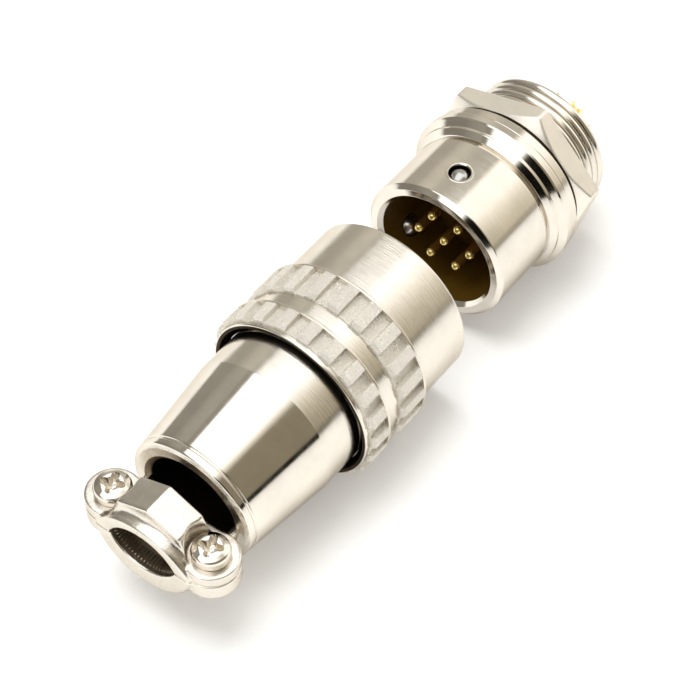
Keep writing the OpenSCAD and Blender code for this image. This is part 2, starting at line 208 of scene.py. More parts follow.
def revolve(bm, profile, steps, spot):
    """Turns a closed profile of (station, radius) points about the axis."""
    rings = []
    for s, r in profile:
        if r < 1e-6:
            rings.append([bm.verts.new(spot(s, 0, 0))])
        else:
            rings.append([bm.verts.new(spot(s, r, 2 * math.pi * k / steps)) for k in range(steps)])
    for ring, nxt in zip(rings, rings[1:] + rings[:1]):
        if len(ring) == len(nxt) == steps:
            skin(bm, [ring, nxt])
        elif len(ring) + len(nxt) > 2:
            for k in range(steps):
                j = (k + 1) % steps
                bm.faces.new((ring[0], nxt[k], nxt[j]) if len(ring) == 1 else (ring[k], nxt[0], ring[j]))


def turned(name, corners, materials, steps, arc=5, pick=None, spot=at):
    """Turned piece; pick(station, radius) gives a face's material slot, spot(station, radius, angle) a point."""
    bm = bmesh.new()
    revolve(bm, rounded(corners, arc), steps, spot)
    if pick:
        for f in bm.faces:
            c = f.calc_center_median()
            f.material_index = pick((c.x - NOSE_X) / MM, math.hypot(c.y, c.z - AXIS_Z) / MM)
    return piece(name, bm, materials)


def upright(name, corners, s, y, steps=64, arc=4):
    """Turned cutter or post that stands upright at station s and sideways y; corners are (height, radius)."""
    return turned(name, corners, ["nickel"], steps, arc,
                  spot=lambda h, r, a: off(s + r * math.cos(a), y + r * math.sin(a), h))


def slab(name, x0, x1, y0, y1, z0, z1):
    """Plain block used to cut or join."""
    bm = bmesh.new()
    v = [bm.verts.new(off(x, y, z)) for x in (x0, x1) for y in (y0, y1) for z in (z0, z1)]
    for q in ((0, 1, 3, 2), (4, 6, 7, 5), (0, 4, 5, 1), (2, 3, 7, 6), (0, 2, 6, 4), (1, 5, 7, 3)):
        bm.faces.new([v[i] for i in q])
    return piece(name, bm, ["nickel"])


def bake(obj):
    """Applies an object's modifiers to its mesh."""
    dg = bpy.context.evaluated_depsgraph_get()
    dg.update()
    mesh = bpy.data.meshes.new_from_object(obj.evaluated_get(dg), preserve_all_data_layers=True, depsgraph=dg)
    old = obj.data
    obj.modifiers.clear()
    obj.data = mesh
    bpy.data.meshes.remove(old)
    return obj


def carve(obj, *steps):
    """Joins, cuts or intersects an object with others in turn and drops them."""
    for how, other in steps:
        m = obj.modifiers.new(how.lower(), "BOOLEAN")
        m.operation, m.solver, m.object = how, "EXACT", other
        bake(obj)
        bpy.data.objects.remove(other)
    return obj


def break_edges(obj, width, segments, angle):
    """Rounds an object's sharp edges by a small width in mm."""
    bm = bmesh.new()
    bm.from_mesh(obj.data)
    bmesh.ops.remove_doubles(bm, verts=bm.verts, dist=2e-6)
    bmesh.ops.dissolve_degenerate(bm, edges=bm.edges, dist=2e-6)
    bm.to_mesh(obj.data)
    bm.free()
    m = obj.modifiers.new("broken edge", "BEVEL")
    m.width, m.segments, m.limit_method, m.angle_limit = width * MM, segments, "ANGLE", math.radians(angle)
    m.use_clamp_overlap = True
    bake(obj)
    soften(obj.data, 40)
    return obj


def mark(obj, pick):
    """Gives each face the material slot that pick says for its centre."""
    for p in obj.data.polygons:
        p.material_index = int(pick(p.center))


def cast(obj, side, grain=0.085, rounds=17):
    """Gives a clamp half the soft edges of a casting, and a darker, rough wall to its side of the cable hole."""
    m = obj.modifiers.new("cast skin", "REMESH")
    m.mode, m.voxel_size, m.use_smooth_shade = "VOXEL", grain * MM, True
    m = obj.modifiers.new("soft edges", "SMOOTH")
    m.factor, m.iterations = 0.5, rounds
    bake(obj)
    obj.data.materials.clear()
    for name in ("nickel_cast", "nickel_worn"):
        obj.data.materials.append(FINISH[name])
    middle, rim = AXIS_Z - side * HOLE_OFF * MM, NOSE_X - 46.1 * MM
    mark(obj, lambda c: abs(math.hypot(c.y, c.z - middle) / MM - HOLE_R) < 0.2 and c.x > rim)
    return obj


def fuse(name, objs):
    """Puts several meshes into one piece."""
    bm = bmesh.new()
    mats = []
    for o in objs:
        for m in o.data.materials:
            if m not in mats:
                mats.append(m)
    for o in objs:
        part = o.data.copy()
        index = [mats.index(m) for m in part.materials]
        for p in part.polygons:
            p.material_index = index[min(p.material_index, len(index) - 1)]
        bm.from_mesh(part)
        bpy.data.meshes.remove(part)
    mesh = bpy.data.meshes.new(name)
    bm.to_mesh(mesh)
    bm.free()
    for m in mats:
        mesh.materials.append(m)
    obj = bpy.data.objects.new(name, mesh)
    bpy.context.scene.collection.objects.link(obj)
    for o in objs:
        bpy.data.objects.remove(o)
    return obj


def settle(obj, body, slot, *nodes):
    """Puts a finished piece on its body and in place of its frame nodes."""
    obj.data.name = obj.name
    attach(obj, body)
    if nodes:
        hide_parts(*nodes)
    return obj


# ---------------------------------------------------------------- geometry node trees

def new_tree(name, inputs):
    """Geometry tree with a geometry socket each way and the named inputs."""
    tree = bpy.data.node_groups.new(name, "GeometryNodeTree")
    tree.interface.new_socket("Geometry", in_out="INPUT", socket_type="NodeSocketGeometry")
    for label, kind in inputs:
        tree.interface.new_socket(label, in_out="INPUT", socket_type="NodeSocket" + kind)
    tree.interface.new_socket("Geometry", in_out="OUTPUT", socket_type="NodeSocketGeometry")
    return tree, tree.nodes.new("NodeGroupInput"), tree.nodes.new("NodeGroupOutput")


def add(tree, *kinds):
    """New nodes of the kinds named."""
    return [tree.nodes.new(kind) for kind in kinds]


def wire(tree, *links):
    """Links (node, output, node, input) in turn."""
    for a, out, b, into in links:
        tree.links.new(a.outputs[out], b.inputs[into])


def ring_tree():
    """Copies the input geometry around the connector axis."""
    ready = bpy.data.node_groups.get("ring_around_axis")
    if ready:
        return ready
    tree, start, end = new_tree("ring_around_axis", (("Count", "Int"), ("Step", "Float"), ("First", "Float"),
                                                     ("Axis height", "Float"), ("Finish", "Material")))
    row, index, mul, plus, turn, shift = add(
        tree, "GeometryNodeMeshLine", "GeometryNodeInputIndex", "ShaderNodeMath", "ShaderNodeMath",
        "ShaderNodeCombineXYZ", "ShaderNodeCombineXYZ")
    inst, real, lift, paint = add(tree, "GeometryNodeInstanceOnPoints", "GeometryNodeRealizeInstances",
                                  "GeometryNodeTransform", "GeometryNodeSetMaterial")
    mul.operation, plus.operation = "MULTIPLY", "ADD"
    row.inputs["Offset"].default_value = (0, 0, 0)
    wire(tree, (start, "Count", row, "Count"), (row, "Mesh", inst, "Points"), (start, "Geometry", inst, "Instance"),
         (index, 0, mul, 0), (start, "Step", mul, 1), (mul, 0, plus, 0), (start, "First", plus, 1),
         (plus, 0, turn, "X"), (turn, 0, inst, "Rotation"), (inst, "Instances", real, "Geometry"),
         (real, "Geometry", lift, "Geometry"), (start, "Axis height", shift, "Z"), (shift, 0, lift, "Translation"),
         (lift, "Geometry", paint, "Geometry"), (start, "Finish", paint, "Material"),
         (paint, "Geometry", end, "Geometry"))
    return tree


def row_tree():
    """Copies the input geometry in a straight row."""
    tree, start, end = new_tree("row_of_copies", (("Count", "Int"), ("Offset", "Vector"), ("Finish", "Material")))
    row, inst, real, paint = add(tree, "GeometryNodeMeshLine", "GeometryNodeInstanceOnPoints",
                                 "GeometryNodeRealizeInstances", "GeometryNodeSetMaterial")
    wire(tree, (start, "Count", row, "Count"), (start, "Offset", row, "Offset"), (row, "Mesh", inst, "Points"),
         (start, "Geometry", inst, "Instance"), (inst, "Instances", real, "Geometry"),
         (real, "Geometry", paint, "Geometry"), (start, "Finish", paint, "Material"),
         (paint, "Geometry", end, "Geometry"))
    return tree


def thread_tree():
    """Sweeps a rounded ridge along a helix about the connector axis."""
    tree, start, end = new_tree("thread_ridge", (("Radius", "Float"), ("Pitch", "Float"), ("Turns", "Float"),
                                                 ("Ridge width", "Float"), ("Ridge height", "Float"),
                                                 ("Place", "Vector"), ("Finish", "Material")))
    helix, normal, rim, size, form, rise = add(
        tree, "GeometryNodeCurveSpiral", "GeometryNodeSetCurveNormal", "GeometryNodeCurvePrimitiveCircle",
        "ShaderNodeCombineXYZ", "GeometryNodeTransform", "ShaderNodeMath")
    sweep, lay, real, paint = add(tree, "GeometryNodeCurveToMesh", "GeometryNodeTransform",
                                  "GeometryNodeRealizeInstances", "GeometryNodeSetMaterial")
    rise.operation = "MULTIPLY"
    normal.mode = "Z_UP"
    for node, key, value in ((helix, "Resolution", 128), (rim, "Resolution", 14), (rim, "Radius", 1.0),
                             (size, "Z", 1.0), (sweep, "Fill Caps", True), (lay, "Rotation", (0, math.pi / 2, 0))):
        node.inputs[key].default_value = value
    wire(tree, (start, "Pitch", rise, 0), (start, "Turns", rise, 1), (rise, 0, helix, "Height"),
         (start, "Turns", helix, "Rotations"), (start, "Radius", helix, "Start Radius"),
         (start, "Radius", helix, "End Radius"), (helix, "Curve", normal, "Curve"),
         (start, "Ridge height", size, "X"), (start, "Ridge width", size, "Y"), (rim, "Curve", form, "Geometry"),
         (size, 0, form, "Scale"), (normal, "Curve", sweep, "Curve"), (form, "Geometry", sweep, "Profile Curve"),
         (sweep, "Mesh", lay, "Geometry"), (start, "Place", lay, "Translation"), (lay, "Geometry", real, "Geometry"),
         (real, "Geometry", paint, "Geometry"), (start, "Finish", paint, "Material"),
         (paint, "Geometry", end, "Geometry"))
    return tree


def grow(obj, tree, **values):
    """Runs a geometry tree on an object and keeps the result as its mesh."""
    mod = obj.modifiers.new(tree.name, "NODES")
    mod.node_group = tree
    for item in tree.interface.items_tree:
        key = item.name.lower().replace(" ", "_")
        if item.item_type == "SOCKET" and item.in_out == "INPUT" and key in values:
            mod[item.identifier] = values[key]
    return bake(obj)


def empty_mesh(name):
    """Object with nothing in it yet, for a tree that makes its own geometry."""
    obj = bpy.data.objects.new(name, bpy.data.meshes.new(name))
    bpy.context.scene.collection.objects.link(obj)
    return obj


# ---------------------------------------------------------------- finishes

def effect(name, inputs, outputs):
    """Shader group with named inputs (label, default) and outputs (label, kind)."""
    tree = bpy.data.node_groups.new(name, "ShaderNodeTree")
    for label, default in inputs:
        s = tree.interface.new_socket(label, in_out="INPUT", socket_type="NodeSocketFloat")
        s.default_value = default
    for label, kind in outputs:
        tree.interface.new_socket(label, in_out="OUTPUT", socket_type="NodeSocket" + kind)
    return tree, tree.nodes.new("NodeGroupInput"), tree.nodes.new("NodeGroupOutput")


def feed(tree, socket, value):
    """Links an output to an input socket, or sets a plain value there."""
    if hasattr(value, "links"):
        tree.links.new(value, socket)
    else:
        socket.default_value = value


def calc(tree, operation, *values):
    """Math node on sockets and numbers."""
    n = tree.nodes.new("ShaderNodeMath")
    n.operation = operation
    for socket, value in zip(n.inputs, values):
        feed(tree, socket, value)
    return n.outputs[0]


def axis_coordinates(tree):
    """Object coordinates in millimetres about the connector axis."""
    tex, spot = add(tree, "ShaderNodeTexCoord", "ShaderNodeMapping")
    spot.vector_type = "POINT"
    spot.inputs["Location"].default_value = (-NOSE_X / MM, 0, -AXIS_Z / MM)
    spot.inputs["Scale"].default_value = (1 / MM,) * 3
    wire(tree, (tex, "Object", spot, "Vector"))
    return spot.outputs["Vector"]


def noise(tree, vector, scale, detail=2.0, rough=0.5):
    """Noise value, in features per unit of the vector."""
    n = tree.nodes.new("ShaderNodeTexNoise")
    for key, value in (("Vector", vector), ("Scale", scale), ("Detail", detail), ("Roughness", rough)):
        feed(tree, n.inputs[key], value)
    return n.outputs["Fac"]


def stretch(tree, vector, scale):
    """Vector scaled along each axis."""
    m = tree.nodes.new("ShaderNodeMapping")
    m.inputs["Scale"].default_value = scale
    tree.links.new(vector, m.inputs["Vector"])
    return m.outputs["Vector"]


def spread(tree, value, low, high, to_low=0.0, to_high=1.0):
    """Straight rise from one value to another, held at both ends."""
    r = tree.nodes.new("ShaderNodeMapRange")
    for key, v in (("Value", value), ("From Min", low), ("From Max", high), ("To Min", to_low), ("To Max", to_high)):
        feed(tree, r.inputs[key], v)
    return r.outputs["Result"]


def soft_step(tree, value, low, high, to_low=0.0, to_high=1.0):
    """Smooth rise from one value to another."""
    out = spread(tree, value, low, high, to_low, to_high)
    out.node.interpolation_type = "SMOOTHSTEP"
    return out


def turning_marks():
    """Fine lines left around a piece by the lathe."""
    tree, start, end = effect("turning_marks", (("Lines per mm", 9.0),), (("Height", "Float"), ("Streak", "Float")))
    v = axis_coordinates(tree)
    fine = noise(tree, stretch(tree, v, (1.0, 0.03, 0.03)), start.outputs["Lines per mm"], 3.0, 0.65)
    broad = noise(tree, stretch(tree, v, (1.0, 0.12, 0.12)), 1.1, 2.0)
    tree.links.new(spread(tree, fine, 0.3, 0.7), end.inputs["Height"])
    tree.links.new(spread(tree, broad, 0.35, 0.7), end.inputs["Streak"])
    return tree


def handling_marks():
    """Faint cloudy film and small dark pits from handling."""
    tree, start, end = effect("handling_marks", (("Pits per mm", 1.4),), (("Film", "Float"), ("Pit", "Float")))
    v = axis_coordinates(tree)
    film = noise(tree, v, 0.28, 4.0, 0.6)
    cell = tree.nodes.new("ShaderNodeTexVoronoi")
    tree.links.new(v, cell.inputs["Vector"])
    tree.links.new(start.outputs["Pits per mm"], cell.inputs["Scale"])
    pick = noise(tree, v, 0.7, 1.0)
    dot = spread(tree, cell.outputs["Distance"], 0.03, 0.07, 1.0, 0.0)
    some = spread(tree, pick, 0.60, 0.64)
    tree.links.new(spread(tree, film, 0.35, 0.7), end.inputs["Film"])
    tree.links.new(calc(tree, "MULTIPLY", dot, some), end.inputs["Pit"])
    return tree


def blasted_grain():
    """Coarse grain of a blasted, plated surface."""
    tree, start, end = effect("blasted_grain", (("Grains per mm", 5.0),), (("Height", "Float"), ("Shade", "Float")))
    v = axis_coordinates(tree)
    grain = noise(tree, v, start.outputs["Grains per mm"], 3.0, 0.7)
    patch = noise(tree, v, 0.8, 2.0)
    tree.links.new(spread(tree, grain, 0.3, 0.7), end.inputs["Height"])
    tree.links.new(spread(tree, patch, 0.3, 0.7), end.inputs["Shade"])
    return tree


def use(tree, group, **values):
    """Places an effect in a tree with its own values."""
    n = tree.nodes.new("ShaderNodeGroup")
    n.node_tree = group
    for label, v in values.items():
        n.inputs[label.replace("_", " ")].default_value = v
    return n


def blend_colour(tree, factor, a, b):
    """Mix of two colours, each a socket or plain."""
    m = tree.nodes.new("ShaderNodeMix")
    m.data_type = "RGBA"
    tree.links.new(factor, m.inputs["Factor"])
    for key, v in (("A", a), ("B", b)):
        socket = [s for s in m.inputs if s.name == key and s.type == "RGBA"][0]
        feed(tree, socket, v if hasattr(v, "links") else (*v, 1))
    return [s for s in m.outputs if s.type == "RGBA"][0]


def shade(colour, share):
    """Colour made darker or lighter by a share."""
    return tuple(c * share for c in colour)


def finish(name, colour, metallic=1.0, rough=(0.2, 0.3), lines=0.0, grain=0.0, pits=0.0, grain_scale=5.0,
           grain_height=0.03, speckle=0.0, tint=0.9, specular=0.5):
    """Node material: a varying colour and roughness, with turning lines, blasted grain and pits as asked."""
    mat = bpy.data.materials.new(name)
    mat.use_nodes = True
    tree = mat.node_tree
    bsdf = tree.nodes["Principled BSDF"]
    bsdf.inputs["Metallic"].default_value = metallic
    if metallic > 0.5:
        bsdf.inputs["Specular Tint"].default_value = EDGE_TINT
    bsdf.inputs["Specular IOR Level"].default_value = specular
    marks = use(tree, EFFECT["handling_marks"])
    film = marks.outputs["Film"]
    base = blend_colour(tree, film, colour, shade(colour, tint))
    if pits:
        base = blend_colour(tree, calc(tree, "MULTIPLY", marks.outputs["Pit"], pits), base, PIT_BROWN)
    height = None
    if lines:
        turn = use(tree, EFFECT["turning_marks"])
        height = turn.outputs["Height"]
        dull = spread(tree, calc(tree, "ADD", turn.outputs["Streak"], film), 0.0, 2.0, *rough)
    elif grain:
        blast = use(tree, EFFECT["blasted_grain"], Grains_per_mm=grain_scale)
        height = blast.outputs["Height"]
        if speckle:
            base = blend_colour(tree, height, shade(colour, 1 - speckle), base)
        dull = spread(tree, blast.outputs["Shade"], 0.0, 1.0, *rough)
    else:
        dull = spread(tree, film, 0.0, 1.0, *rough)
    tree.links.new(dull, bsdf.inputs["Roughness"])
    tree.links.new(base, bsdf.inputs["Base Color"])
    if height is not None:
        bump = tree.nodes.new("ShaderNodeBump")
        bump.inputs["Strength"].default_value = lines or grain
        bump.inputs["Distance"].default_value = grain_height * MM
        tree.links.new(height, bump.inputs["Height"])
        tree.links.new(bump.outputs["Normal"], bsdf.inputs["Normal"])
    FINISH[name] = mat


def make_finishes(c):
    """All finishes of the connector."""
    EFFECT.update(turning_marks=turning_marks(), handling_marks=handling_marks(), blasted_grain=blasted_grain())
    finish("nickel", c.nickel, rough=(0.07, 0.14), lines=0.05, pits=0.8)
    finish("nickel_brushed", c.nickel, rough=(0.12, 0.22), lines=0.14, pits=0.5)
    finish("nickel_cast", c.nickel, rough=(0.20, 0.30), grain=0.3, grain_scale=0.9, grain_height=0.04, tint=0.88,
           pits=0.4)
    # Darker, rough nickel for the cable hole, the inside of the rear lip and the ribs
    finish("nickel_worn", c.dark_rough, rough=(0.36, 0.5), grain=0.5, grain_scale=1.5, grain_height=0.05)
    finish("nickel_blasted", c.blasted, metallic=0.76, rough=(0.26, 0.34), grain=1.0, grain_scale=5.5,
           grain_height=0.075, speckle=0.24, tint=0.98)
    # Satin nickel for the nut: rougher, with painted light in a colour lightened to 1.14 of the nickel
    finish("nickel_satin", shade(c.nickel, 1.14), metallic=0.88, rough=(0.30, 0.40), lines=0.14, pits=0.5)
    finish("gold", c.gold, metallic=0.72, rough=(0.13, 0.2), tint=0.9)
    # Painted shade: a darker, redder copy of the gold for the shanks
    finish("gold_shank", c.shank, metallic=0.9, rough=(0.14, 0.2), tint=0.85)
    finish("insulator", c.insulator, metallic=0.0, rough=(0.35, 0.5), grain=0.05, tint=0.8, specular=0.25)
    # Painted shade: the bore's brown lining, darkened to 0.62 of the insulator
    finish("bore_lining", shade(c.insulator, 0.62), metallic=0.0, rough=(0.35, 0.5), lines=0.05, tint=0.85,
           specular=0.25)
    finish("ball_steel", c.steel, rough=(0.20, 0.28), tint=0.93)
    finish("spring_steel", c.spring, rough=(0.25, 0.4), lines=0.1)
    # Painted shade: a near-black finish on walls where shade falls, inside the shell, the sleeve, the ball pockets and
    # at the nut's foot
    finish("inner_wall", SHADE_PAINTED_WALL, rough=(0.45, 0.6), lines=0.1)


# ---------------------------------------------------------------- pieces

class CONNECTOR_OT_receptacle(bpy.types.Operator):
    """Nose, flange and threaded end with the ball pockets"""
    bl_idname = "connector.receptacle"
    bl_label = "Receptacle shell"

    def execute(self, context):
        sizes = context.scene.connector_sizes
        end = (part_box("receptacle_shell")[1].x - NOSE_X) / MM
        # Painted shade: the bore takes its darkened lining, and the ball pockets a near-black wall
        finishes = ["nickel", "bore_lining", "inner_wall"]
        shell = turned("shell", [
            (0.45, 6.70, 0.10), (0.0, 7.15, 0.10), (0.0, 7.90, 0.12), (0.46, NOSE_R, 0.14), (2.4, NOSE_R),
            (3.0, NOSE_R), (5.4, NOSE_R), (6.4, NOSE_R), (8.30, NOSE_R, 0.08), (8.42, 8.05, 0.06), (8.70, 8.05, 0.06),
            (8.84, 8.50, 0.05), (9.36, 9.03, 0.05), (9.70, 9.05, 0.06), (10.24, 9.60, 0.05), (10.40, 9.70, 0.06),
            (11.18, 9.70, 0.08), (11.30, 9.58, 0.05), (11.30, 7.35, 0.06), (11.72, 7.35, 0.06), (12.0, 7.42),
            (end - 0.3, 7.42), (end, 7.22, 0.08), (end, 6.90, 0.06), (8.65, 6.90), (8.65, 6.30), (8.0, 6.30),
            (8.0, 6.70), (6.4, 6.70), (5.4, 6.70), (3.0, 6.70), (2.4, 6.70)],
            finishes, sizes.steps, pick=lambda s, r: int(r < 6.71 and 0.55 < s < 8.7))
        for k in range(3):
            a = math.pi * (0.5 + 2 * k / 3)
            pocket = turned("pocket", [
                (5.7, 0), (5.7, 1.197), (6.45, 1.197), (7.0, 1.30), (8.1, 1.30), (8.12, 1.15, 0.05),
                (8.30, 1.15, 0.05), (8.48, 1.34), (8.9, 1.5), (8.9, 0)], finishes, 64, 3,
                lambda s, r: 2 if r < 8.1 else 0,
                lambda h, r, t: off(BALL_S + r * math.cos(t), h * math.cos(a) - r * math.sin(t) * math.sin(a),
                                    h * math.sin(a) + r * math.sin(t) * math.cos(a)))
            carve(shell, ("DIFFERENCE", pocket))
        soften(shell.data, 34)
        # Swaged rings that keep the balls in, bent to the nose
        angles = [2 * math.pi * k / 12 for k in range(12)]
        swage = turned("swage", [(0.02 * math.sin(u), 1.36 + 0.10 * math.cos(u)) for u in angles], ["nickel"], 64,
                       spot=lambda h, r, t: Vector((NOSE_X + (BALL_S + r * math.cos(t)) * MM,
                                                    (math.sqrt(NOSE_R ** 2 - (r * math.sin(t)) ** 2) + h) * MM,
                                                    r * math.sin(t) * MM)))
        grow(swage, ring_tree(), count=3, step=2 * math.pi / 3, first=math.pi / 2, axis_height=AXIS_Z,
             finish=FINISH["nickel"])
        soften(swage.data)
        ridge_start, run_out, ridge_width, ridge_height = 12.25, 0.60, 0.46, 0.42
        ridge = grow(empty_mesh("ridge"), thread_tree(), radius=sizes.thread_crest - ridge_height * MM,
                     pitch=sizes.thread_pitch, turns=(end - run_out - ridge_start) * MM / sizes.thread_pitch,
                     ridge_width=ridge_width * MM, ridge_height=ridge_height * MM,
                     place=(NOSE_X + ridge_start * MM, 0, AXIS_Z), finish=FINISH["nickel_brushed"])
        soften(ridge.data, 50)
        settle(fuse("receptacle_shell_dressed", [shell, swage, ridge]), "receptacle", "nickel", "receptacle_shell")
        return {"FINISHED"}


class CONNECTOR_OT_panel_parts(bpy.types.Operator):
    """Washer and hexagon nut"""
    bl_idname = "connector.panel_parts"
    bl_label = "Washer and nut"

    def execute(self, context):
        washer = turned("washer", [(11.31, 8.06, 0.08), (11.31, 9.44, 0.16), (12.46, 9.44, 0.12), (12.46, 8.06, 0.08)],
                        ["nickel"], context.scene.connector_sizes.steps)
        settle(fuse("panel_washer_dressed", [washer]), "washer", "nickel", "panel_washer")
        flat, bore, front, back, steps, turn = 9.0, 8.07, 12.85, 15.55, 720, math.radians(46)
        corner_power, edge_power = 90, 150  # higher is sharper
        angles = [2 * math.pi * k / steps for k in range(steps)]

        def outline(s, a):
            """Radius of the hexagon, cut by the cones at its front and back."""
            hexa = sum(max(0.0, math.cos(a - turn - math.pi / 6 - k * math.pi / 3)) ** corner_power for k in range(6))
            hexa = flat / hexa ** (1 / corner_power)
            cone = 8.75 + (s - front) / 0.75
            rear = 10.36 + (back - s) * 1.6
            return sum(r ** -edge_power for r in (hexa, cone, rear)) ** (-1 / edge_power)

        def plain(s, r):
            return [at(s, r, a) for a in angles]
        rows = [front + 0.02 + 0.02 * k for k in range(4)] + [front + 0.1 + 1.35 * k / 22 for k in range(23)]
        rows += [back - d for d in (0.9, 0.5, 0.2, 0.1, 0.04)]
        insets = [(front, 0.12), (front, 0.03), *((s, 0.0) for s in rows), (back, 0.05), (back, 0.2)]
        rings = [plain(front + 0.12, bore), plain(front, bore + 0.13),
                 *([at(s, outline(s, a) - inset, a) for a in angles] for s, inset in insets),
                 plain(back, bore + 0.13), plain(back - 0.12, bore)]
        bm = bmesh.new()
        skin(bm, [[bm.verts.new(p) for p in ring] for ring in rings], closed=True)
        # Painted light on the nut's flats: the lightened satin nickel
        nut = piece("nut", bm, ["nickel_satin", "inner_wall"], 40)
        # Painted shade: a near-black foot on the chamfer, where shade falls in the groove beside the washer
        mark(nut, lambda c: c.x < NOSE_X + (front + 0.22) * MM)
        settle(fuse("panel_nut_dressed", [nut]), "nut", "nickel", "panel_nut")
        return {"FINISHED"}


class CONNECTOR_OT_contacts(bpy.types.Operator):
    """Gold pins with round tips and solder cups, and the matching sockets"""
    bl_idname = "connector.contacts"
    bl_label = "Contacts"

    def execute(self, context):
        ring_r = (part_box("contact_pin_2")[0].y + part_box("contact_pin_2")[1].y) / 2 / MM
        end = (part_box("contact_pin_1")[1].x - NOSE_X) / MM
        tip = [(1.5 + 0.5 * (1 - math.cos(t)), 0.5 * math.sin(t)) for t in [math.pi / 2 * k / 10 for k in range(11)]]
        corners = tip + [(9.5, 0.5), (9.5, 0.75), (end - 0.06, 0.75, 0.05), (end, 0.70),
                         (end, 0.52, 0.03), (end - 2, 0.5), (end - 2.1, 0.0)]

        def pin(name, y, lift):
            """One pin at sideways y, with its axis at a height in metres and a cut in its solder cup."""
            obj = turned(name, corners, ["gold"], 32, 3,
                         spot=lambda s, r, a: Vector((NOSE_X + s * MM, (y + r * math.cos(a)) * MM,
                                                      lift + r * math.sin(a) * MM)))
            opening = slab("cup_opening", end - 1.2, end + 1, y, y + 2, -2, 2)
            opening.data.transform(Matrix.Translation((0, 0, lift - AXIS_Z)))
            carve(obj, ("DIFFERENCE", opening))
            soften(obj.data, 34)
            return obj
        ring = grow(pin("ring_pin", ring_r, 0.0), ring_tree(), count=6, step=math.pi / 3, first=0.0,
                    axis_height=AXIS_Z, finish=FINISH["gold"])
        pins = fuse("contact_pins", [ring, pin("middle_pin", 0.0, AXIS_Z)])
        # Painted shade: darker, redder gold on the shanks, which stand in the shade of the bore
        pins.data.materials.append(FINISH["gold_shank"])
        mark(pins, lambda c: 2.0 < (c.x - NOSE_X) / MM < 9.4)
        settle(pins, "receptacle", "gold", *[f"contact_pin_{i}" for i in CONTACTS])
        for i in CONTACTS:
            dress(f"socket_contact_{i}", "gold")
        return {"FINISHED"}


class CONNECTOR_OT_lock_balls(bpy.types.Operator):
    """Polished steel lock balls"""
    bl_idname = "connector.lock_balls"
    bl_label = "Lock balls"

    def execute(self, context):
        for i in (1, 2, 3):
            lo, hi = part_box(f"lock_ball_{i}")
            bm = bmesh.new()
            bmesh.ops.create_icosphere(bm, subdivisions=5, radius=(hi.x - lo.x) / 2,
                                       matrix=Matrix.Translation((lo + hi) / 2))
            ball = piece(f"lock_ball_{i}_polished", bm, ["ball_steel"], 60)
            settle(ball, f"ball_{i}", "ball_steel", f"lock_ball_{i}")
        return {"FINISHED"}


def dress(node, finish_name):
    """Gives a kept frame node its finish."""
    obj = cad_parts[node]
    obj.data.materials.clear()
    obj.data.materials.append(FINISH[finish_name])


class CONNECTOR_OT_inner_parts(bpy.types.Operator):
    """Finishes of the parts that lie inside"""
    bl_idname = "connector.inner_parts"
    bl_label = "Inner parts"

    def execute(self, context):
        for node, name in (("pin_insert", "insulator"), ("socket_insert", "insulator"), ("pin_retainer", "nickel"),
                           ("socket_retainer", "nickel"), ("plug_body", "nickel_brushed"),
                           ("stop_ring", "spring_steel")):
            dress(node, name)
        # The spring lies between its seat on the barrel and the sleeve's rib, where it shortens; here its frame mesh
        # is copied with smooth shading
        bm = bmesh.new()
        bm.from_mesh(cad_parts["sleeve_spring"].data)
        coil = piece("sleeve_spring_dressed", bm, ["spring_steel"], 40)
        coil.data.name = coil.name
        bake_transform(coil)
        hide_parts("sleeve_spring")
        return {"FINISHED"}


